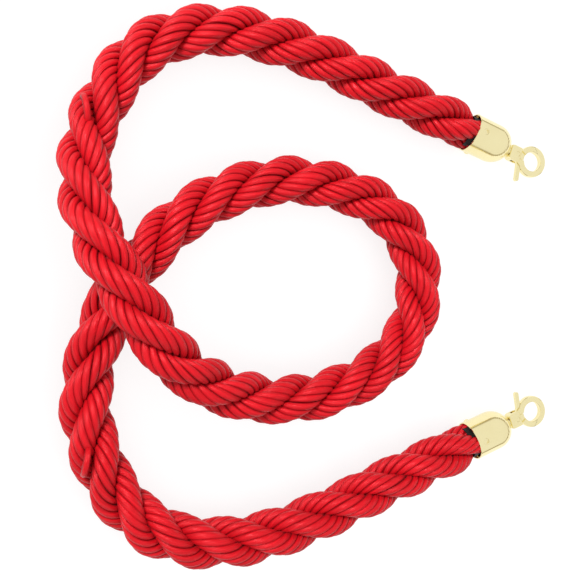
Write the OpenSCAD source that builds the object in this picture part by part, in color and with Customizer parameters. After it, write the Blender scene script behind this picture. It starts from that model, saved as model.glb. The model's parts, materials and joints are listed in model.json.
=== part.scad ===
// Barrier rope: a three-strand rope with a domed cap and a swivelling trigger hook at each end.
// +Z is up and Z = 0 is the surface it lies on. The origin is midway between the two end fittings.
// End a is the fitting at +Y and end b the one at -Y; both point towards +X.

/* [Rope] */
// Diameter of the rope over the crowns of its strands
rope_d = 34; // [32:0.5:36]
// Diameter of the bound rope end inside the cap
bound_d = 24; // [22:0.1:24.2]
// Length over which the rope narrows to its bound end
taper_l = 36; // [28:1:45]
// Length of rope held inside each cap
held_l = 20; // [16:1:22]

/* [End cap] */
// Outside diameter of the cap
cap_d = 28; // [27.6:0.1:29]
// Length of the straight part of the cap
cap_straight_l = 19.2; // [18:0.2:24]
// Length of the domed nose of the cap
cap_nose_l = 14.6; // [12:0.2:16]
// Wall thickness of the cap
cap_wall = 1; // [0.8:0.1:1.1]
// Distance of the cap screws from the mouth
screw_x = 5.8; // [5:0.1:8]
// Diameter of a cap screw's head
screw_head_d = 4.8; // [4:0.1:5.4]

/* [Swivel] */
// Diameter of the swivel stud where the hook turns on it
stud_d = 3.2; // [2.8:0.1:3.2]
// Gap between the cap and the back of the hook
neck_l = 1.2; // [1.1:0.1:3]

/* [Hook] */
// Diameter of the hook's eye
eye_d = 14.4; // [14:0.1:15]
// Radial width of the hook's ring
ring_w = 4.4; // [3.8:0.1:4.6]
// Thickness of the hook's ring
ring_t = 4.4; // [4:0.1:4.8]
// Thickness of the hook's base
base_t = 6.4; // [6:0.1:7]
// Width of the hook's base
base_w = 11.4; // [11:0.1:12.4]
// Thickness of the gate and its thumb lever
gate_t = 2.4; // [2.2:0.1:2.5]
// Distance of the thumb lever's tip from the cap's axis
lever_reach = 18.5; // [16:0.5:19]

/* [Hidden] */
$fn = 64;

red = "#d4142a";
gold = "#e8d38a";
steel = "#b9b9b4";
black = "#1a1716";

rope_r = rope_d / 2;
bound_r = bound_d / 2;
cap_r = cap_d / 2;
bore_r = cap_r - cap_wall;
cap_l = cap_straight_l + cap_nose_l;

// Where each fitting lies: the centre of the cap's mouth, and how far its axis turns inwards.
mouth_x = -28;
mouth_y = 112;
fitting_turn = 20;

screw_r = 1.3;
screw_l = 9;
screw_head_h = 1.3;
cross_l = 2.2;
cross_w = 0.6;
cross_depth = 0.8;
binding_out = 3.5;

// Swivel stud, along the cap's axis from the mouth
shank_r = 1.9;
collar_r = 3.2;
collar_l = 0.7;
base_x = cap_l + neck_l;
stud_r = stud_d / 2;
stud_play = 0.05;
stud_head_r = stud_r + 0.7;
stud_head_l = 1;
swivel_wall = 2.4;
stud_head_x = base_x + swivel_wall + 0.2;
tip_wall = 1.2;
nut_l = 2.2;
washer_l = 0.8;
washer_x = cap_l - tip_wall - washer_l - 0.9;
nut_x = washer_x - nut_l;
nut_af = 6.6;
washer_r = 3.9;

// Hook, along the same axis
eye_r = eye_d / 2;
ring_r = eye_r + ring_w;
pivot_x = base_x + 6.4;
pivot_r = 1.2;
pivot_play = 0.05;
rivet_head_r = 1.95;
rivet_head_h = 0.9;
eye_x = pivot_x + 14;
base_l = 9.3;
front_x = base_x + base_l;
neck_t = ring_t - 0.5;
neck_y = -2.2;
slot_t = gate_t + 0.2;
slot_x = pivot_x - 2.7;
boss_r = 2.4;
thin_r = 3.4;
gate_from = 158;
gate_to = 90;
lap_turn = 42;
lever_w = 3;
lever_tip_x = pivot_x + 6.4;
outer_edge = 1.2;
inner_edge = 0.6;

// Gate spring
wire_d = 0.36;
coil_r = 1.75;
coil_turns = 2;

// The rope's route. An arm runs from a cap round to the crossing, and the bight between the arms
// passes over the far arm and comes back. Each point is [x, y, lift], with x measured from the caps'
// mouths and lift in rope diameters.
arm = [
    [-65, 135, 0], [-105, 151, 0], [-140, 162, 0], [-175, 167, 0],
    [-210, 163, 0], [-238, 147, 0], [-256, 121, 0]
];
bight = [
    [-269, 90, 0.1], [-272, 55, 0.5], [-261, 20, 0.95], [-240, -15, 1.1],
    [-220, -45, 0.85], [-190, -65, 0.4], [-155, -75, 0.05], [-120, -75, 0],
    [-88, -65, 0], [-63, -50, 0], [-42, -20, 0], [-42, 17, 0], [-56, 44, 0],
    [-78, 60, 0], [-109, 70, 0], [-145, 72, 0], [-181, 62, 0], [-211, 44, 0],
    [-239, 15, 0], [-258, -20, 0], [-270, -55, 0], [-268, -90, 0]
];

// A point on fitting a's axis, x from its mouth, with the rope's own height there
function on_axis(x, z) = [
    mouth_x + x * cos(fitting_turn),
    mouth_y - x * sin(fitting_turn),
    z
];
function laid(p) = [mouth_x + p[0], p[1], rope_d * (0.5 + p[2])];
function across(p) = [p[0], -p[1], p[2]];

run = concat(
    [on_axis(held_l, cap_r), on_axis(-2, cap_r), on_axis(-27, rope_r + 1)],
    [for (p = arm) laid(p)]
);
last = len(run) - 1;
route = concat(run, [for (p = bight) laid(p)], [for (i = [last:-1:0]) across(run[i])]);

// Uniform cubic spline through the route, two steps to each of its points
function blend(a, b, c, d, t) = (
    pow(1 - t, 3) * a
    + (3 * pow(t, 3) - 6 * t * t + 4) * b
    + (-3 * pow(t, 3) + 3 * t * t + 3 * t + 1) * c
    + pow(t, 3) * d
) / 6;
function ends_added(p) = concat(
    [2 * p[0] - p[1]], p, [2 * p[len(p) - 1] - p[len(p) - 2]]
);
function smooth_line(p) = let (q = ends_added(p)) concat(
    [for (i = [0:len(q) - 4], t = [0, 0.5]) blend(q[i], q[i + 1], q[i + 2], q[i + 3], t)],
    [p[len(p) - 1]]
);
rope_line = smooth_line(route);

// The rope's radius at a point of its line, from the point's distance to the nearer mouth
function ease(t) = let (u = max(0, min(1, t))) u * u * (3 - 2 * u);
function mouth_gap(p) = norm([p[0] - mouth_x, abs(p[1]) - mouth_y]);
function outside(p) = (p[0] - mouth_x) * cos(fitting_turn) - (abs(p[1]) - mouth_y) * sin(fitting_turn) < 0;
function rope_r_at(p) = outside(p)
    ? bound_r + (rope_r - bound_r) * ease(mouth_gap(p) / taper_l)
    : bound_r;

// A closed tube of given radii round the points of a line
function unit(v) = v / norm(v);
function heading(line, i) = unit(line[min(i + 1, len(line) - 1)] - line[max(i - 1, 0)]);
module tube(line, radii, sides) {
    rings = [
        for (i = [0:len(line) - 1])
            let (
                along = heading(line, i),
                side = unit(cross([0, 0, 1], along)),
                up = cross(along, side)
            )
            [for (k = [0:sides - 1]) line[i]
                + radii[i] * (cos(k * 360 / sides) * side + sin(k * 360 / sides) * up)]
    ];
    n = len(line);
    walls = [
        for (i = [0:n - 2], k = [0:sides - 1])
            let (m = (k + 1) % sides)
            each [
                [i * sides + k, (i + 1) * sides + k, (i + 1) * sides + m],
                [i * sides + k, (i + 1) * sides + m, i * sides + m]
            ]
    ];
    near = [[for (k = [0:sides - 1]) k]];
    far = [[for (k = [sides - 1:-1:0]) (n - 1) * sides + k]];
    polyhedron(points = [for (r = rings) each r], faces = concat(near, walls, far));
}

// Places a fitting's pieces, drawn along +X from the centre of the mouth: side 1 is end a, -1 end b
module at_end(side, roll = 0) {
    translate([mouth_x, side * mouth_y, cap_r])
        rotate([0, 0, -side * fitting_turn])
            rotate([roll, 0, 0])
                children();
}
// Hook b is the same hook, turned half round on its swivel
function hook_roll(side) = side > 0 ? 0 : 180;

// A rod or ring on the fitting's axis, from x to x + l
module rod(x, l, r, hole_r = 0) {
    translate([x, 0, 0])
        rotate([0, 90, 0])
            difference() {
                cylinder(h = l, r = r);
                if (hole_r > 0) translate([0, 0, -1]) cylinder(h = l + 2, r = hole_r);
            }
}
// A flat hook piece's thickness, centred on the hook's own plane
module slab(t) {
    translate([0, 0, -t / 2])
        linear_extrude(t)
            children();
}
// A shallow domed head of a given radius and height, on Z = 0
module domed_head(r, h) {
    dome_r = (r * r + h * h) / (2 * h);
    intersection() {
        cylinder(h = h, r = r);
        translate([0, 0, h - dome_r]) sphere(r = dome_r);
    }
}
// Three places round the cap, one of them on top
module each_screw() {
    for (turn = [0, 120, 240])
        rotate([turn, 0, 0])
            translate([screw_x, 0, 0])
                children();
}

module rope() {
    color(red)
        tube(rope_line, [for (p = rope_line) rope_r_at(p)], 12);
}

// The cap's quarter-ellipse nose as [radius, x] points, from the straight wall to the tip
function nose(r, l) = [for (t = [0:5:90]) [r * cos(t), cap_straight_l + l * sin(t)]];
function reversed(p) = [for (i = [len(p) - 1:-1:0]) p[i]];
module end_cap(side) {
    rim = 0.3;
    color(gold)
        at_end(side)
            difference() {
                rotate([0, 90, 0])
                    rotate_extrude()
                        polygon(concat(
                            [[bore_r, rim], [bore_r + rim, 0], [cap_r - rim, 0], [cap_r, rim]],
                            nose(cap_r, cap_nose_l),
                            reversed(nose(bore_r, cap_nose_l - tip_wall))
                        ));
                rod(cap_l - 4, 6, shank_r + stud_play);
                each_screw() cylinder(h = cap_d, r = screw_r);
            }
}

// Round-head screws with a cross recess, driven through the cap into the bound rope end
module cap_screws(side) {
    seat = cap_r - 0.25;
    color(gold)
        at_end(side)
            each_screw() {
                translate([0, 0, cap_r - screw_l]) cylinder(h = screw_l, r = screw_r - 0.05);
                difference() {
                    translate([0, 0, seat]) domed_head(screw_head_d / 2, screw_head_h);
                    for (turn = [45, 135])
                        translate([0, 0, seat + screw_head_h - cross_depth])
                            rotate([0, 0, turn])
                                translate([-cross_l / 2, -cross_w / 2, 0])
                                    cube([cross_l, cross_w, cross_depth + 1]);
                }
            }
}

// Black whipping round the rope's end, showing a little outside the mouth
module rope_binding(side) {
    color(black)
        at_end(side)
            difference() {
                rod(-binding_out, binding_out + held_l - 3, bore_r - 0.05, bound_r);
                each_screw() cylinder(h = cap_d, r = screw_r);
            }
}

// Headed stud that is clamped in the cap's nose and lets the hook turn
module swivel_stud(side) {
    color(gold)
        at_end(side) {
            rod(nut_x - 0.8, cap_l - nut_x + 0.8, shank_r);
            rod(cap_l, collar_l, collar_r);
            rod(cap_l + collar_l, stud_head_x - cap_l - collar_l, stud_r);
            rod(stud_head_x, stud_head_l, stud_head_r);
        }
}

module stud_washer(side) {
    color(steel)
        at_end(side)
            rod(washer_x, washer_l, washer_r, shank_r + stud_play);
}

module stud_nut(side) {
    color(steel)
        at_end(side)
            translate([nut_x, 0, 0])
                rotate([0, 90, 0])
                    difference() {
                        cylinder(h = nut_l, r = nut_af / 2 / cos(30), $fn = 6);
                        translate([0, 0, -1]) cylinder(h = nut_l + 2, r = shank_r);
                    }
}

// A quarter circle of points round a corner, from the angle a
function corner(x, y, r, a) = [for (t = [0:22.5:90]) [x + r * cos(a + t), y + r * sin(a + t)]];
// A sector of the hook's ring, rounder outside than in its eye, from angle a to angle b
module ring_sector(a, b) {
    half = ring_t / 2;
    translate([eye_x, 0, 0])
        rotate([0, 0, a])
            rotate_extrude(angle = b - a)
                polygon(concat(
                    corner(ring_r - outer_edge, half - outer_edge, outer_edge, 0),
                    corner(eye_r + inner_edge, half - inner_edge, inner_edge, 90),
                    corner(eye_r + inner_edge, -half + inner_edge, inner_edge, 180),
                    corner(ring_r - outer_edge, -half + outer_edge, outer_edge, 270)
                ));
}
// A rectangle from x to x + l and as wide as w, with its corners cut off by b
function cut_rectangle(x, l, w, b) = [
    [x + b, -w / 2], [x + l - b, -w / 2], [x + l, -w / 2 + b], [x + l, w / 2 - b],
    [x + l - b, w / 2], [x + b, w / 2], [x, w / 2 - b], [x, -w / 2 + b]
];
// A block from x to x + l whose long and short edges are bevelled by b
module bevelled_block(x, l, w, t, b) {
    intersection() {
        translate([0, w, 0])
            rotate([90, 0, 0])
                linear_extrude(2 * w) polygon(cut_rectangle(x, l, t, b));
        translate([x, 0, 0])
            rotate([90, 0, 90])
                linear_extrude(l) polygon(cut_rectangle(-w / 2, w, t, b));
    }
}

// Everything on the gate's side of the slanted joint where gate and claw meet
module gate_side(gap = 0) {
    joint_x = eye_x + (eye_r + ring_w / 2) * cos(gate_to);
    joint_y = (eye_r + ring_w / 2) * sin(gate_to);
    translate([joint_x, joint_y, -ring_t])
        rotate([0, 0, lap_turn])
            translate([-2 * ring_r - gap, -0.32 * ring_r, 0])
                cube([2 * ring_r, 2 * ring_r, 2 * ring_t]);
}

// Base of the hook, with its corners cut and its edges bevelled
module hook_base() {
    half_w = base_w / 2;
    back_cut = 2.4;
    front_cut = 1.1;
    intersection() {
        bevelled_block(base_x, base_l, base_w, base_t, 0.5);
        slab(base_t + 1)
            polygon([
                [base_x - 1, -half_w + back_cut - 1], [base_x + back_cut, -half_w],
                [front_x - front_cut, -half_w], [front_x + 1, -half_w + front_cut + 1],
                [front_x + 1, half_w - front_cut - 1], [front_x - front_cut, half_w],
                [base_x + back_cut, half_w], [base_x - 1, half_w - back_cut + 1]
            ]);
    }
}
// Neck from the base to the ring, on the lever's side
module hook_neck() {
    slab(neck_t)
        polygon([
            [front_x - 1.5, neck_y], [eye_x - eye_r + 1, neck_y],
            [eye_x - 5, -7.5], [eye_x - 7, -7.9], [front_x - 1.5, -base_w / 2 + 0.6]
        ]);
}

// Hook body: a base with two cheeks round the swivel and the gate's slot, and the claw
module hook_body(side) {
    color(gold)
        at_end(side, hook_roll(side))
            difference() {
                union() {
                    difference() {
                        union() {
                            hook_base();
                            hook_neck();
                        }
                        translate([eye_x, 0, -base_t]) cylinder(h = 2 * base_t, r = eye_r + 0.02);
                    }
                    difference() {
                        ring_sector(-158, gate_to + 20);
                        gate_side();
                    }
                }
                // Swivel bore and the space for the stud's head
                rod(base_x - 1, swivel_wall + 2, stud_r + stud_play);
                rod(base_x + swivel_wall, stud_head_l + 0.6, stud_head_r + 0.2);
                // Slot that the gate and its lever swing in
                slab(slot_t)
                    polygon([
                        [slot_x, -ring_r], [slot_x, base_w], [eye_x - eye_r + 1, base_w],
                        [eye_x - eye_r + 1, neck_y], [eye_x - 5.4, -5], [eye_x - 7.6, -ring_r]
                    ]);
                // Rivet hole
                translate([pivot_x, 0, -base_t]) cylinder(h = 2 * base_t, r = pivot_r);
            }
}

// Gate: a boss on the rivet, an arm that closes the ring, and the thumb lever on the other side
module hook_gate(side) {
    color(gold)
        at_end(side, hook_roll(side))
            difference() {
                union() {
                    slab(gate_t) {
                        translate([pivot_x, 0]) circle(r = boss_r);
                        polygon([
                            [pivot_x, boss_r], [pivot_x, -1.6], [eye_x - eye_r + 1, -1.6],
                            [eye_x - eye_r + 1, 3],
                            [eye_x - ring_r * cos(25), ring_r * sin(25)]
                        ]);
                        // Thumb lever, with a round tip
                        hull() {
                            translate([pivot_x + 0.6, -0.4]) circle(d = lever_w);
                            translate([pivot_x + 4.4, -6.6]) circle(d = lever_w);
                        }
                        hull() {
                            translate([pivot_x + 4.4, -6.6]) circle(d = lever_w);
                            translate([lever_tip_x, -lever_reach + lever_w / 2]) circle(d = lever_w);
                        }
                    }
                    intersection() {
                        ring_sector(gate_to - 20, gate_from);
                        gate_side(0.15);
                    }
                }
                translate([pivot_x, 0, -base_t]) cylinder(h = 2 * base_t, r = pivot_r + pivot_play);
                translate([eye_x, 0, -base_t]) cylinder(h = 2 * base_t, r = eye_r);
                // Room for the spring over the boss
                translate([pivot_x, 0, 0.1]) cylinder(h = base_t, r = thin_r);
            }
}

// Rivet that holds the gate between the cheeks, headed on both sides
module gate_rivet(side) {
    color(gold)
        at_end(side, hook_roll(side))
            translate([pivot_x, 0, 0]) {
                cylinder(h = base_t, r = pivot_r, center = true);
                for (face = [0, 180])
                    rotate([face, 0, 0])
                        translate([0, 0, base_t / 2])
                            domed_head(rivet_head_r, rivet_head_h);
            }
}

// Torsion spring in the gate's recess, coiled round the rivet, with two straight legs
module gate_spring(side) {
    pitch = wire_d + 0.02;
    low = 0.1 + 0.04 + wire_d / 2;
    high = low + pitch * coil_turns;
    leg = 2.6;
    coil = [
        for (t = [0:24:360 * coil_turns])
            [pivot_x - coil_r * cos(t), -coil_r * sin(t), low + pitch * t / 360]
    ];
    wire = concat(
        [[pivot_x - coil_r, leg, low]], coil, [[pivot_x - coil_r, -leg, high]]
    );
    color(steel)
        at_end(side, hook_roll(side))
            tube(wire, [for (p = wire) wire_d / 2], 8);
}

rope();
end_cap(1);  // end_cap_a
cap_screws(1);  // cap_screws_a
rope_binding(1);  // rope_binding_a
swivel_stud(1);  // swivel_stud_a
stud_washer(1);  // stud_washer_a
stud_nut(1);  // stud_nut_a
hook_body(1);  // hook_body_a
hook_gate(1);  // hook_gate_a
gate_rivet(1);  // gate_rivet_a
gate_spring(1);  // gate_spring_a
end_cap(-1);  // end_cap_b
cap_screws(-1);  // cap_screws_b
rope_binding(-1);  // rope_binding_b
swivel_stud(-1);  // swivel_stud_b
stud_washer(-1);  // stud_washer_b
stud_nut(-1);  // stud_nut_b
hook_body(-1);  // hook_body_b
hook_gate(-1);  // hook_gate_b
gate_rivet(-1);  // gate_rivet_b
gate_spring(-1);  // gate_spring_b
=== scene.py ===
import json
import math

import bmesh
import bpy
import numpy as np
from bpy.props import FloatProperty, FloatVectorProperty, IntProperty, PointerProperty
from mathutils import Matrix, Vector


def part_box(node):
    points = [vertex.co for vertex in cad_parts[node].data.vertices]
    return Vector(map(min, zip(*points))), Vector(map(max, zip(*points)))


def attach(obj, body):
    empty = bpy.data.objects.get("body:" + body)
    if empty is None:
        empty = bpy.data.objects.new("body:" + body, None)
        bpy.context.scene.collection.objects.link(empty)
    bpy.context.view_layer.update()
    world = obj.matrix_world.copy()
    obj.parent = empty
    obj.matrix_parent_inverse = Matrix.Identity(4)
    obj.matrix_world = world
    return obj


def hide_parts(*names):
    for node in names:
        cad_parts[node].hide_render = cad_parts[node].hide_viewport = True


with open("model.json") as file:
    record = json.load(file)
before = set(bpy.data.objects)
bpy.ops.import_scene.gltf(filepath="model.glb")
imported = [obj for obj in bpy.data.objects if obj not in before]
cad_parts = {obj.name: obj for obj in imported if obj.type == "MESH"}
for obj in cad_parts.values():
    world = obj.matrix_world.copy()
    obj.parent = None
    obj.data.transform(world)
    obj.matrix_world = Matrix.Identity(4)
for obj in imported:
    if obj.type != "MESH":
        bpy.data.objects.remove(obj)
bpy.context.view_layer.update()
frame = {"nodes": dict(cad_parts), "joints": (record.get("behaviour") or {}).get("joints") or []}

bl_info = {
    "name": "Barrier Rope",
    "version": (1, 0, 0),
    "blender": (4, 5, 0),
    "location": "3D View > Sidebar > Barrier Rope",
    "description": "Builds a three-strand barrier rope with capped ends and trigger hooks",
    "category": "Add Mesh",
}

ENDS = {"a": 1, "b": -1}

# The rope's route, in metres. An arm runs from a cap round to the crossing, and the bight between
# the arms passes over the far arm and comes back. Each point is (x from the mouths, y, lift), with
# the lift in rope diameters.
ARM = (
    (-0.065, 0.135, 0), (-0.105, 0.151, 0), (-0.140, 0.162, 0), (-0.175, 0.167, 0),
    (-0.210, 0.163, 0), (-0.238, 0.147, 0), (-0.256, 0.121, 0),
)
BIGHT = (
    (-0.269, 0.090, 0.1), (-0.272, 0.055, 0.5), (-0.261, 0.020, 0.95), (-0.240, -0.015, 1.1),
    (-0.220, -0.045, 0.85), (-0.190, -0.065, 0.4), (-0.155, -0.075, 0.05), (-0.120, -0.075, 0),
    (-0.088, -0.065, 0), (-0.063, -0.050, 0), (-0.042, -0.020, 0), (-0.042, 0.017, 0),
    (-0.056, 0.044, 0), (-0.078, 0.060, 0), (-0.109, 0.070, 0), (-0.145, 0.072, 0),
    (-0.181, 0.062, 0), (-0.211, 0.044, 0), (-0.239, 0.015, 0), (-0.258, -0.020, 0),
    (-0.270, -0.055, 0), (-0.268, -0.090, 0),
)


# ---------------------------------------------------------------- settings

class RopeSettings(bpy.types.PropertyGroup):
    """Sizes and colours of the rope."""

    diameter: FloatProperty(
        name="Diameter", description="Diameter over the crowns of the strands",
        default=0.034, min=0.032, max=0.036, unit="LENGTH")
    mouth_diameter: FloatProperty(
        name="Diameter at the caps", description="Diameter where the rope goes into a cap",
        default=0.0266, unit="LENGTH")
    bound_diameter: FloatProperty(
        name="Bound diameter", description="Diameter of the rope's end inside the cap",
        default=0.0240, unit="LENGTH")
    taper: FloatProperty(
        name="Taper", description="Length over which the rope narrows to the cap's mouth",
        default=0.018, unit="LENGTH")
    held: FloatProperty(
        name="Held length", description="Length of rope inside each cap",
        default=0.020, unit="LENGTH")
    lay: FloatProperty(
        name="Lay", description="Length in which a strand goes once round the rope",
        default=0.0935, unit="LENGTH")
    cord_lay: FloatProperty(
        name="Cord lay", description="Length in which a cord goes once round its strand",
        default=0.031, unit="LENGTH")
    phase: FloatProperty(
        name="Phase", description="Angle of the first strand at the rope's end",
        default=math.radians(78), subtype="ANGLE")
    mouth_turn: FloatProperty(
        name="Turn at the caps", description="How far the binding has turned the strands back",
        default=math.radians(20), subtype="ANGLE")
    tuck_at: FloatProperty(
        name="Tuck's place", description="Length from each cap to where a yarn's end is tucked in",
        default=0.302, unit="LENGTH")
    cords: IntProperty(
        name="Cords", description="Number of satin cords in a strand", default=7)
    red: FloatVectorProperty(
        name="Red", description="Colour of the satin", subtype="COLOR", size=3,
        default=(0.47, 0.004, 0.009))
    binding: FloatVectorProperty(
        name="Binding", description="Colour of the thread round the rope's ends", subtype="COLOR",
        size=3, default=(0.006, 0.005, 0.005))


class FittingSettings(bpy.types.PropertyGroup):
    """Colours of the caps and hooks."""

    gold: FloatVectorProperty(
        name="Gold", description="Colour of the plated metal", subtype="COLOR", size=3,
        default=(0.955, 0.865, 0.515))
    zinc: FloatVectorProperty(
        name="Zinc", description="Colour of the nuts and washers", subtype="COLOR", size=3,
        default=(0.62, 0.63, 0.64))
    spring: FloatVectorProperty(
        name="Spring", description="Colour of the spring wire", subtype="COLOR", size=3,
        default=(0.45, 0.45, 0.46))


class StageSettings(bpy.types.PropertyGroup):
    """Camera, lights and floor."""

    camera_height: FloatProperty(
        name="Camera height", description="Height of the camera over the floor",
        default=0.4792, unit="LENGTH")
    camera_x: FloatProperty(
        name="Camera place", description="Place of the camera along X",
        default=-0.3127, unit="LENGTH")
    camera_y: FloatProperty(
        name="Camera offset", description="Place of the camera along Y",
        default=-0.001, unit="LENGTH")
    camera_tilt: FloatProperty(
        name="Camera tilt", description="Angle of the camera from straight down",
        default=math.radians(17.5), subtype="ANGLE")
    lens: FloatProperty(
        name="Lens", description="Focal length in millimetres", default=45.6)
    horizon: FloatVectorProperty(
        name="Horizon", description="Colour of the dim band low down all round", subtype="COLOR",
        size=3, default=(0.42, 0.35, 0.22))
    sky: FloatProperty(
        name="Sky", description="Strength of the light from all round", default=0.93)


# ---------------------------------------------------------------- the rope's line

def lerp(a, b, t):
    return a + (b - a) * t


def ease(t):
    u = np.clip(t, 0, 1)
    return u * u * (3 - 2 * u)


def cap_axis(side):
    """(centre of a cap's mouth, the cap's axis pointing out of the rope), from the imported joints."""
    name = "swivel_a" if side > 0 else "swivel_b"
    axis = Vector(next(j["axis"] for j in frame["joints"] if j["name"] == name)).normalized()
    low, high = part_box("end_cap_a" if side > 0 else "end_cap_b")
    radius = (high.z - low.z) / 2
    edge_y = high.y if side > 0 else low.y
    mouth = Vector((low.x + radius * abs(axis.y), edge_y - side * radius * abs(axis.x),
                    (low.z + high.z) / 2))
    return mouth, axis


def route(settings):
    """The route's points in order from cap a to cap b, in the row frame."""
    mouth, axis = cap_axis(1)
    radius = settings.diameter / 2
    run = [
        mouth + axis * settings.held,
        mouth - axis * 0.002,
        mouth - axis * 0.027 + Vector((0, 0, radius + 0.001 - mouth.z)),
    ]

    def laid(point):
        return Vector((mouth.x + point[0], point[1], settings.diameter * (0.5 + point[2])))

    run += [laid(point) for point in ARM]
    back = [Vector((point.x, -point.y, point.z)) for point in reversed(run)]
    return run + [laid(point) for point in BIGHT] + back


def smooth_line(points, step):
    """A uniform cubic spline led by the points, with a point every step, and how far along each is."""
    p = np.array(points)
    p = np.vstack([2 * p[0] - p[1], p, 2 * p[-1] - p[-2]])
    t = np.linspace(0, 1, 24, endpoint=False)[None, :, None]
    a, b, c, d = (p[i:len(p) - 3 + i, None, :] for i in range(4))
    fine = ((1 - t) ** 3 * a + (3 * t ** 3 - 6 * t ** 2 + 4) * b
            + (-3 * t ** 3 + 3 * t ** 2 + 3 * t + 1) * c + t ** 3 * d) / 6
    fine = np.vstack([fine.reshape(-1, 3), p[-2]])
    along = np.append(0, np.cumsum(np.linalg.norm(np.diff(fine, axis=0), axis=1)))
    at = np.linspace(0, along[-1], round(along[-1] / step) + 1)
    return at, np.stack([np.interp(at, along, fine[:, k]) for k in range(3)], axis=1)


def unit(v):
    return v / np.linalg.norm(v, axis=-1, keepdims=True)


def headings(line):
    return unit(np.gradient(line, axis=0))


class RopeLine:
    """The rope's centreline with its axes, its narrowing and its lay at every step."""

    def __init__(self, settings, step=0.0015):
        self.settings = settings
        self.at, self.centre = smooth_line(route(settings), step)
        self.along = headings(self.centre)
        self.left = unit(np.cross((0, 0, 1), self.along))
        self.up = np.cross(self.along, self.left)
        self.length = self.at[-1]
        self.outside = np.minimum(self.at, self.length - self.at) - settings.held
        self.scale = self.narrowing()
        self.travel = self.lay_travel()

    def narrowing(self):
        """The rope's width at each step as a share of its full width."""
        s = self.settings
        width = np.where(
            self.outside > 0,
            lerp(s.mouth_diameter, s.diameter,
                 np.sin(np.clip(self.outside / s.taper, 0, 1) * math.pi / 2)),
            lerp(s.mouth_diameter, s.bound_diameter, ease(-self.outside / s.held)),
        )
        return width / s.diameter

    def lay_travel(self):
        """The length by which the lay has advanced. It turns back under the crossing, so that both
        arms mirror each other, and comes out the same at both mouths."""
        s = self.settings
        far = np.searchsorted(self.at, self.length * 0.5)
        over = self.centre[np.argmax(self.centre[:, 2])]
        gap = np.linalg.norm((self.centre - over)[:, :2], axis=1)
        gap[:far] = np.inf
        under = self.at[np.argmin(gap)]
        third = s.lay / 3
        turns = round((2 * under - self.length) / third)
        turn_at = (self.length + turns * third) / 2
        soft = 0.012
        return turn_at - np.sqrt((self.at - turn_at) ** 2 + soft ** 2)

    def around(self, radius, angle):
        """Points at a distance and angle round the centreline, the angle from left towards up."""
        r, turn = (np.broadcast_to(v, self.at.shape)[:, None] for v in (radius, angle))
        return self.centre + r * (np.cos(turn) * self.left + np.sin(turn) * self.up)


def waver(at, seed, size):
    """A slow, repeatable wander of about that size."""
    total = 0
    for i, wave in enumerate((0.31, 0.127, 0.061)):
        total = total + np.sin(at / wave * math.tau + seed * (2.3 + i * 1.7)) * (0.5, 0.3, 0.2)[i]
    return size * total


# ---------------------------------------------------------------- mesh helpers

def new_object(bm, name, material, smooth=True):
    for face in bm.faces:
        face.smooth = smooth
    mesh = bpy.data.meshes.new(name)
    bm.to_mesh(mesh)
    bm.free()
    mesh.materials.append(material)
    piece = bpy.data.objects.new(name, mesh)
    bpy.context.scene.collection.objects.link(piece)
    return piece


def rolled_tube(bm, rings):
    """A grid rolled into a tube whose rings are rings[along, around], with both ends closed.
    Its UVs run round the tube in U and along it in V."""
    rows, sides = rings.shape[0] - 1, rings.shape[1]
    made = bmesh.ops.create_grid(
        bm, x_segments=sides, y_segments=rows, size=0.5, calc_uvs=True)["verts"]
    for vert in made:
        row = round((vert.co.y + 0.5) * rows)
        vert.co = rings[row, round((vert.co.x + 0.5) * sides) % sides]
    bmesh.ops.remove_doubles(bm, verts=made, dist=1e-7)
    rim = {edge for vert in made if vert.is_valid for edge in vert.link_edges if edge.is_boundary}
    bmesh.ops.holes_fill(bm, edges=list(rim), sides=0)


def tube_rings(line, outward, half_width, half_height, sides):
    """Rings round a line: half_height towards outward, half_width across it."""
    along = headings(line)
    out = unit(outward - (outward * along).sum(1, keepdims=True) * along)
    across = np.cross(along, out)
    turn = np.arange(sides) * math.tau / sides
    wide, high = (np.broadcast_to(v, len(line))[:, None, None] for v in (half_width, half_height))
    return (line[:, None, :]
            + high * np.cos(turn)[None, :, None] * out[:, None, :]
            + wide * np.sin(turn)[None, :, None] * across[:, None, :])


# ---------------------------------------------------------------- node helpers

def node(tree, kind, inputs=None, **values):
    made = tree.nodes.new(kind)
    for name, value in values.items():
        setattr(made, name, value)
    for name, value in (inputs or {}).items():
        socket = made.inputs[name]
        if isinstance(value, bpy.types.NodeSocket):
            tree.links.new(value, socket)
        else:
            socket.default_value = value
    return made


def maths(tree, operation, *values, clamp=False):
    made = node(tree, "ShaderNodeMath", operation=operation, use_clamp=clamp)
    for socket, value in zip(made.inputs, values):
        if isinstance(value, bpy.types.NodeSocket):
            tree.links.new(value, socket)
        else:
            socket.default_value = value
    return made.outputs[0]


def mixed(tree, share, a, b):
    made = node(tree, "ShaderNodeMix", data_type="RGBA")
    for socket, value in zip((made.inputs[0], made.inputs[6], made.inputs[7]), (share, a, b)):
        if isinstance(value, bpy.types.NodeSocket):
            tree.links.new(value, socket)
        else:
            socket.default_value = (*value, 1) if hasattr(value, "__len__") else value
    return made.outputs[2]


def new_group(name, inputs, outputs):
    """An empty shader group, its input node and its output node."""
    tree = bpy.data.node_groups.new(name, "ShaderNodeTree")
    for socket, (kind, value) in inputs.items():
        made = tree.interface.new_socket(socket, in_out="INPUT", socket_type=kind)
        if value is not None:
            made.default_value = value
    for socket, kind in outputs.items():
        tree.interface.new_socket(socket, in_out="OUTPUT", socket_type=kind)
    return tree, tree.nodes.new("NodeGroupInput"), tree.nodes.new("NodeGroupOutput")


def new_material(name):
    """A material with its shader, and its tree."""
    material = bpy.data.materials.new(name)
    material.use_nodes = True
    return material, material.node_tree, material.node_tree.nodes["Principled BSDF"]


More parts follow.
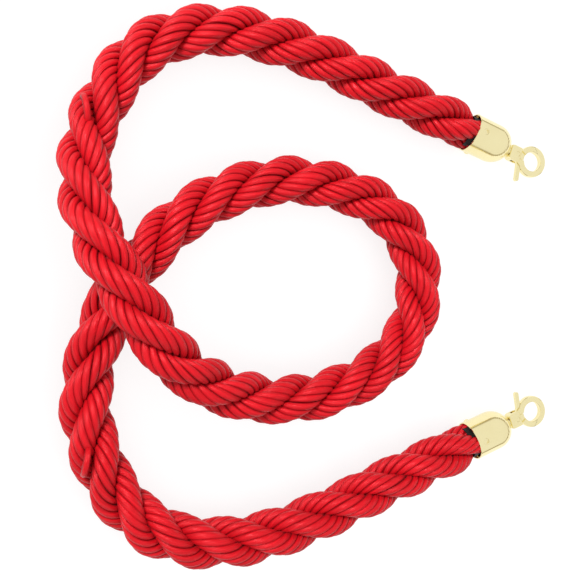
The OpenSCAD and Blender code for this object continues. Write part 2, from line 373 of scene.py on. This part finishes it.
def placed(tree, group, inputs):
    made = node(tree, "ShaderNodeGroup", node_tree=group)
    for name, value in inputs.items():
        socket = made.inputs[name]
        if isinstance(value, bpy.types.NodeSocket):
            tree.links.new(value, socket)
        else:
            socket.default_value = value
    return made.outputs


# ---------------------------------------------------------------- shared effects

def filaments_group():
    """Fine filaments along a cord, from its UVs: U round it, V along it. The pattern meets itself
    where U wraps, and leans round the cord by Twist turns for each turn's length. Painted shade
    rises from the cord's outer face to where it turns in between its neighbours."""
    group = bpy.data.node_groups.get("Filaments")
    if group:
        return group
    group, given, out = new_group(
        "Filaments",
        {"UV": ("NodeSocketVector", None), "Length": ("NodeSocketFloat", 100.0),
         "Twist": ("NodeSocketFloat", 0.1), "Fineness": ("NodeSocketFloat", 8.0),
         "Stretch": ("NodeSocketFloat", 0.05)},
        {"Height": "NodeSocketFloat", "Streak": "NodeSocketFloat", "Drift": "NodeSocketFloat",
         "Depth": "NodeSocketFloat"})
    parts = node(group, "ShaderNodeSeparateXYZ", {"Vector": given.outputs["UV"]})
    along = maths(group, "MULTIPLY", parts.outputs["Y"], given.outputs["Length"])
    turns = maths(group, "ADD", parts.outputs["X"],
                  maths(group, "MULTIPLY", along, given.outputs["Twist"]))
    angle = maths(group, "MULTIPLY", turns, math.tau)
    place = node(group, "ShaderNodeCombineXYZ", {
        "X": maths(group, "COSINE", angle), "Y": maths(group, "SINE", angle),
        "Z": maths(group, "MULTIPLY", along, given.outputs["Stretch"])})
    fine = node(group, "ShaderNodeTexNoise", {
        "Vector": place.outputs[0], "Scale": given.outputs["Fineness"], "Detail": 3.0,
        "Roughness": 0.65})
    broad = node(group, "ShaderNodeTexNoise", {
        "Vector": place.outputs[0], "Scale": maths(group, "MULTIPLY", given.outputs["Fineness"], 0.3),
        "Detail": 2.0})
    slow = node(group, "ShaderNodeTexNoise", {
        "Vector": place.outputs[0], "Scale": 0.6, "Detail": 1.0})
    height = maths(group, "ADD", fine.outputs["Fac"],
                   maths(group, "MULTIPLY", broad.outputs["Fac"], 1.5))
    streak = node(group, "ShaderNodeMapRange", {
        "Value": broad.outputs["Fac"], "From Min": 0.35, "From Max": 0.68})
    facing = maths(group, "COSINE", maths(group, "MULTIPLY", parts.outputs["X"], math.tau))
    # painted shade: a mask that darkens the cord from its outer crown to where it turns in between its
    # neighbours, where shade falls
    painted_shade_mask = node(group, "ShaderNodeMapRange", {
        "Value": facing, "From Min": 0.72, "From Max": -0.05})
    group.links.new(painted_shade_mask.outputs[0], out.inputs["Depth"])
    group.links.new(height, out.inputs["Height"])
    group.links.new(streak.outputs[0], out.inputs["Streak"])
    group.links.new(slow.outputs["Fac"], out.inputs["Drift"])
    return group


def handling_group():
    """Faint clouding and hairline scratches of handled, polished plating."""
    group = bpy.data.node_groups.get("Handling")
    if group:
        return group
    group, given, out = new_group(
        "Handling",
        {"Vector": ("NodeSocketVector", None), "Scale": ("NodeSocketFloat", 60.0)},
        {"Cloud": "NodeSocketFloat", "Scratch": "NodeSocketFloat"})
    cloud = node(group, "ShaderNodeTexNoise", {
        "Vector": given.outputs["Vector"], "Scale": given.outputs["Scale"], "Detail": 4.0})
    leaned = node(group, "ShaderNodeMapping", {
        "Vector": given.outputs["Vector"], "Rotation": (0.3, 0.5, 0.9), "Scale": (60, 900, 900)})
    hair = node(group, "ShaderNodeTexNoise", {
        "Vector": leaned.outputs[0], "Scale": 1.0, "Detail": 2.0})
    line = node(group, "ShaderNodeMapRange", {
        "Value": hair.outputs["Fac"], "From Min": 0.66, "From Max": 0.74})
    group.links.new(cloud.outputs["Fac"], out.inputs["Cloud"])
    group.links.new(line.outputs[0], out.inputs["Scratch"])
    return group


# ---------------------------------------------------------------- materials

def satin(settings):
    """Red satin: a soft shine along each cord, streaked by its filaments, with painted shade where it
    turns in.
    """
    material, tree, shader = new_material("red_satin")
    uv = node(tree, "ShaderNodeUVMap")
    marks = placed(tree, filaments_group(), {
        "UV": uv.outputs[0], "Length": 110.0, "Twist": 0.12, "Fineness": 9.0, "Stretch": 0.35})
    deep = tuple(c * k for c, k in zip(settings.red, (0.62, 0.4, 0.45)))
    warm = tuple(min(1.0, c * k) for c, k in zip(settings.red, (1.12, 1.6, 1.5)))
    base = mixed(tree, marks["Streak"], deep, tuple(settings.red))
    base = mixed(tree, maths(tree, "MULTIPLY", marks["Drift"], 0.5), base, warm)
    # painted shade: a darker red painted where each cord turns in between its neighbours
    gap = tuple(c * k for c, k in zip(settings.red, (0.24, 0.1, 0.15)))
    base = mixed(tree, marks["Depth"], base, gap)
    tree.links.new(base, shader.inputs["Base Color"])
    rough = node(tree, "ShaderNodeMapRange", {
        "Value": marks["Streak"], "To Min": 0.46, "To Max": 0.30})
    tree.links.new(rough.outputs[0], shader.inputs["Roughness"])
    bump = node(tree, "ShaderNodeBump", {
        "Height": marks["Height"], "Strength": 0.7, "Distance": 0.0003})
    tree.links.new(bump.outputs[0], shader.inputs["Normal"])
    shader.inputs["Specular IOR Level"].default_value = 0.6
    shader.inputs["Specular Tint"].default_value = (1.0, 0.2, 0.22, 1)
    shader.inputs["Sheen Weight"].default_value = 0.05
    shader.inputs["Sheen Roughness"].default_value = 0.4
    shader.inputs["Sheen Tint"].default_value = (1.0, 0.25, 0.28, 1)
    return material


def thread(settings):
    """Black waxed thread."""
    material, tree, shader = new_material("black_thread")
    uv = node(tree, "ShaderNodeUVMap")
    marks = placed(tree, filaments_group(), {
        "UV": uv.outputs[0], "Length": 300.0, "Twist": 0.4, "Fineness": 5.0, "Stretch": 0.3})
    worn = tuple(c * 3 for c in settings.binding)
    tree.links.new(mixed(tree, marks["Streak"], tuple(settings.binding), worn),
                   shader.inputs["Base Color"])
    bump = node(tree, "ShaderNodeBump", {
        "Height": marks["Height"], "Strength": 0.6, "Distance": 0.0001})
    tree.links.new(bump.outputs[0], shader.inputs["Normal"])
    shader.inputs["Roughness"].default_value = 0.55
    return material


def plated(name, colour, roughness, scale=60.0):
    """Polished or dull plating, a little clouded and scratched."""
    material, tree, shader = new_material(name)
    where = node(tree, "ShaderNodeTexCoord")
    marks = placed(tree, handling_group(), {"Vector": where.outputs["Object"], "Scale": scale})
    shade = tuple(c * k for c, k in zip(colour, (0.93, 0.9, 0.82)))
    tree.links.new(mixed(tree, marks["Cloud"], tuple(colour), shade), shader.inputs["Base Color"])
    dull = node(tree, "ShaderNodeMapRange", {
        "Value": marks["Cloud"], "From Min": 0.3, "From Max": 0.7,
        "To Min": roughness * 0.8, "To Max": roughness * 1.3})
    rough = maths(tree, "ADD", dull.outputs[0], maths(tree, "MULTIPLY", marks["Scratch"], 0.12))
    tree.links.new(rough, shader.inputs["Roughness"])
    bump = node(tree, "ShaderNodeBump", {
        "Height": marks["Scratch"], "Strength": 0.15, "Distance": 0.00003})
    tree.links.new(bump.outputs[0], shader.inputs["Normal"])
    shader.inputs["Metallic"].default_value = 1.0
    return material


# ---------------------------------------------------------------- operators

class BARRIER_OT_stage(bpy.types.Operator):
    """Makes the camera, the lights and the floor"""

    bl_idname = "barrier.stage"
    bl_label = "Stage"

    def execute(self, context):
        settings = context.scene.barrier_stage
        self.camera(context, settings)
        self.lights(context, settings)
        self.floor()
        context.scene.view_settings.view_transform = "Standard"
        return {"FINISHED"}

    def camera(self, context, settings):
        data = bpy.data.cameras.new("camera")
        data.lens = settings.lens
        data.clip_start = 0.01
        camera = bpy.data.objects.new("camera", data)
        camera.location = (settings.camera_x, settings.camera_y, settings.camera_height)
        camera.rotation_euler = (0, -settings.camera_tilt, 0)
        context.scene.collection.objects.link(camera)
        context.scene.camera = camera

    def lights(self, context, settings):
        world = bpy.data.worlds.new("studio")
        world.use_nodes = True
        sky = world.node_tree.nodes["Background"]
        toward = node(world.node_tree, "ShaderNodeTexCoord")
        parts = node(world.node_tree, "ShaderNodeSeparateXYZ", {"Vector": toward.outputs["Generated"]})
        above = node(world.node_tree, "ShaderNodeMapRange", {
            "Value": parts.outputs["Z"], "From Min": 0.07, "From Max": 0.20})
        ray = node(world.node_tree, "ShaderNodeLightPath")
        plain = maths(world.node_tree, "MAXIMUM", above.outputs[0], ray.outputs["Is Camera Ray"])
        colour = mixed(world.node_tree, plain, settings.horizon, (1.0, 1.0, 1.0))
        world.node_tree.links.new(colour, sky.inputs["Color"])
        sky.inputs["Strength"].default_value = settings.sky
        context.scene.world = world
        for name, place, size, power in (
            ("key_light", (-0.75, 0.55, 1.1), 0.35, 24.0),
            ("fill_light", (0.7, -0.6, 1.3), 0.9, 4.0),
        ):
            data = bpy.data.lights.new(name, "AREA")
            data.size, data.energy = size, power
            light = bpy.data.objects.new(name, data)
            light.location = place
            light.visible_glossy = name == "key_light"
            aim = Vector((-0.15, 0, 0)) - light.location
            light.rotation_euler = aim.to_track_quat("-Z", "Y").to_euler()
            context.scene.collection.objects.link(light)

    def floor(self):
        material, tree, shader = new_material("floor")
        grain = node(tree, "ShaderNodeTexNoise", {"Scale": 40.0, "Detail": 3.0})
        tree.links.new(mixed(tree, grain.outputs["Fac"], (0.27, 0.27, 0.27), (0.30, 0.30, 0.30)),
                       shader.inputs["Base Color"])
        shader.inputs["Roughness"].default_value = 0.9
        shader.inputs["Specular IOR Level"].default_value = 0.0
        shader.inputs["Emission Color"].default_value = (1, 1, 1, 1)
        shader.inputs["Emission Strength"].default_value = 0.80
        bm = bmesh.new()
        bmesh.ops.create_grid(bm, x_segments=1, y_segments=1, size=4)
        new_object(bm, "floor", material)


class BARRIER_OT_rope(bpy.types.Operator):
    """Lays the three-strand satin rope along its route"""

    bl_idname = "barrier.rope"
    bl_label = "Rope"

    def execute(self, context):
        settings = context.scene.barrier_rope
        line = RopeLine(settings)
        material = satin(settings)
        strands = [self.strand(line, settings, material, k) for k in range(3)]
        inner = [self.heart(line, settings, material)]
        inner += [self.tuck(line, settings, material, end) for end in ENDS]
        lit = bpy.data.collections.new("rope_lit")
        bpy.data.objects["key_light"].light_linking.receiver_collection = lit
        for piece in strands + inner:
            lit.objects.link(piece)
            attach(piece, "rope_assembly")
        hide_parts("rope")
        return {"FINISHED"}

    def strand(self, line, settings, material, k):
        """One strand: a core, and satin cords that wind round it against the rope's lay."""
        scale = line.scale
        turn = (settings.phase + k * math.tau / 3 - line.travel * math.tau / settings.lay
                - settings.mouth_turn * (1 - ease(line.outside / 0.045))
                + waver(line.at, k + 1, 0.05))
        centre_r = settings.diameter * 0.254 * scale
        strand_r = settings.diameter * 0.230 * scale * (1 - abs(waver(line.at, k + 4, 0.04)))
        middle = line.around(centre_r, turn)
        along = headings(middle)
        out = unit(middle - line.centre)
        out = unit(out - (out * along).sum(1, keepdims=True) * along)
        across = np.cross(along, out)
        cord_r = settings.diameter * 0.0635 * scale
        ring_r = strand_r - cord_r
        bm = bmesh.new()
        bm.loops.layers.uv.new("UVMap")
        core_r = (ring_r - 0.45 * cord_r)[::3]
        core = tube_rings(middle[::3], out[::3], core_r, core_r, 10)
        rolled_tube(bm, core)
        for j in range(settings.cords):
            share = j / settings.cords
            angle = (share * math.tau + k * 0.7 + line.travel * math.tau / settings.cord_lay
                     + waver(line.at, j * 3 + k, 0.08))
            cos, sin = np.cos(angle)[:, None], np.sin(angle)[:, None]
            outward = cos * out + sin * across
            swell = (1 + 0.10 * np.cos(angle)) * (1 + waver(line.at, j * 5 + k * 2 + 1, 0.09))
            path = middle + outward * ring_r[:, None]
            rings = tube_rings(path, outward, cord_r * swell * 1.04, cord_r * swell * 0.98, 12)
            rings[..., 2] = np.maximum(rings[..., 2], 0.0001)
            rolled_tube(bm, rings)
        bmesh.ops.recalc_face_normals(bm, faces=bm.faces)
        return new_object(bm, f"strand_{k + 1}", material)

    def heart(self, line, settings, material):
        """The heart yarn that fills the middle between the strands."""
        radius = (settings.diameter * 0.135 * line.scale)[::3]
        bm = bmesh.new()
        bm.loops.layers.uv.new("UVMap")
        rolled_tube(bm, tube_rings(line.centre[::3], line.up[::3], radius, radius, 12))
        bmesh.ops.recalc_face_normals(bm, faces=bm.faces)
        return new_object(bm, "heart", material)

    def tuck(self, line, settings, material, end):
        """A short loop of cord where a yarn's end crosses a strand and is tucked under it."""
        from_mouth = settings.held + settings.tuck_at
        place = from_mouth if end == "a" else line.length - from_mouth
        i = np.searchsorted(line.at, place)
        along, left, up = line.along[i], line.left[i], line.up[i]
        turn = np.linspace(0, math.pi, 25)[:, None]
        radius = settings.diameter / 2
        lean = 0.22 * ENDS[end] * left
        path = (line.centre[i] - 0.38 * radius * left + np.cos(turn) * radius * (0.4 * along + lean)
                + (0.62 + 0.40 * np.sin(turn)) * radius * up)
        cord_r = settings.diameter * 0.06
        bm = bmesh.new()
        uv = bm.loops.layers.uv.new("UVMap")
        outward = np.broadcast_to(up, path.shape)
        rolled_tube(bm, tube_rings(path, outward, cord_r, cord_r, 12))
        share = radius * 1.8 / line.length
        for face in bm.faces:
            for corner in face.loops:
                corner[uv].uv.y *= share
        bmesh.ops.recalc_face_normals(bm, faces=bm.faces)
        return new_object(bm, f"tuck_{end}", material)


class BARRIER_OT_bindings(bpy.types.Operator):
    """Winds black thread round the rope where it goes into each cap"""

    bl_idname = "barrier.bindings"
    bl_label = "Bindings"

    def execute(self, context):
        material = thread(context.scene.barrier_rope)
        for end, side in ENDS.items():
            piece = self.winding(f"binding_{end}", side, material)
            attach(piece, "rope_assembly")
            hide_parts(f"rope_binding_{end}")
        return {"FINISHED"}

    def winding(self, name, side, material):
        mouth, axis = (np.array(v) for v in cap_axis(side))
        thread_d, length, out, radius = 0.0008, 0.017, 0.0030, 0.0110
        turns = length / thread_d
        per_turn = 40
        t = np.arange(int(turns * per_turn) + 1) / per_turn
        left = unit(np.cross((0, 0, 1), axis))
        up = np.cross(axis, left)
        outward = (np.cos(t * math.tau)[:, None] * left + np.sin(t * math.tau)[:, None] * up)
        path = mouth + axis * (t * thread_d - out)[:, None] + outward * radius
        bm = bmesh.new()
        bm.loops.layers.uv.new("UVMap")
        rolled_tube(bm, tube_rings(path, outward, thread_d * 0.55, thread_d * 0.5, 6))
        sleeve = np.linspace(thread_d - out, length - out, 5)
        line = mouth + axis * sleeve[:, None]
        wall = np.full(len(line), radius - 0.0002)
        rolled_tube(bm, tube_rings(line, np.broadcast_to(up, line.shape), wall, wall, 40))
        bmesh.ops.recalc_face_normals(bm, faces=bm.faces)
        return new_object(bm, name, material)


class BARRIER_OT_fittings(bpy.types.Operator):
    """Finishes the caps, studs and hooks"""

    bl_idname = "barrier.fittings"
    bl_label = "Fittings"

    def execute(self, context):
        settings = context.scene.barrier_fittings
        gold = plated("pale_gold", settings.gold, 0.12)
        zinc = plated("zinc", settings.zinc, 0.35, 90.0)
        spring = plated("spring_wire", settings.spring, 0.25, 90.0)
        finishes = {
            "end_cap": gold, "cap_screws": gold, "swivel_stud": gold, "hook_body": gold,
            "hook_gate": gold, "gate_rivet": gold, "stud_washer": zinc, "stud_nut": zinc,
            "gate_spring": spring,
        }
        for part, finish in finishes.items():
            for end in ENDS:
                data = frame["nodes"][f"{part}_{end}"].data
                data.materials.clear()
                data.materials.append(finish)
        return {"FINISHED"}


class BARRIER_PT_panel(bpy.types.Panel):
    """Lists the operators in the 3D view's sidebar"""

    bl_idname = "BARRIER_PT_panel"
    bl_label = "Barrier Rope"
    bl_space_type = "VIEW_3D"
    bl_region_type = "UI"
    bl_category = "Barrier Rope"

    def draw(self, context):
        for operator in OPERATORS:
            self.layout.operator(operator.bl_idname)
        for group in ("barrier_rope", "barrier_fittings", "barrier_stage"):
            settings = getattr(context.scene, group)
            box = self.layout.box()
            for name in settings.__annotations__:
                box.prop(settings, name)


SETTINGS = {
    "barrier_rope": RopeSettings,
    "barrier_fittings": FittingSettings,
    "barrier_stage": StageSettings,
}
OPERATORS = (
    BARRIER_OT_stage,
    BARRIER_OT_rope,
    BARRIER_OT_bindings,
    BARRIER_OT_fittings,
)
CLASSES = (*SETTINGS.values(), *OPERATORS, BARRIER_PT_panel)


def register():
    for cls in CLASSES:
        bpy.utils.register_class(cls)
    for name, group in SETTINGS.items():
        setattr(bpy.types.Scene, name, PointerProperty(type=group))


def unregister():
    for name in SETTINGS:
        delattr(bpy.types.Scene, name)
    for cls in reversed(CLASSES):
        bpy.utils.unregister_class(cls)


def main():
    register()
    bpy.ops.barrier.stage()
    bpy.ops.barrier.rope()
    bpy.ops.barrier.bindings()
    bpy.ops.barrier.fittings()


if __name__ == "__main__":
    main()
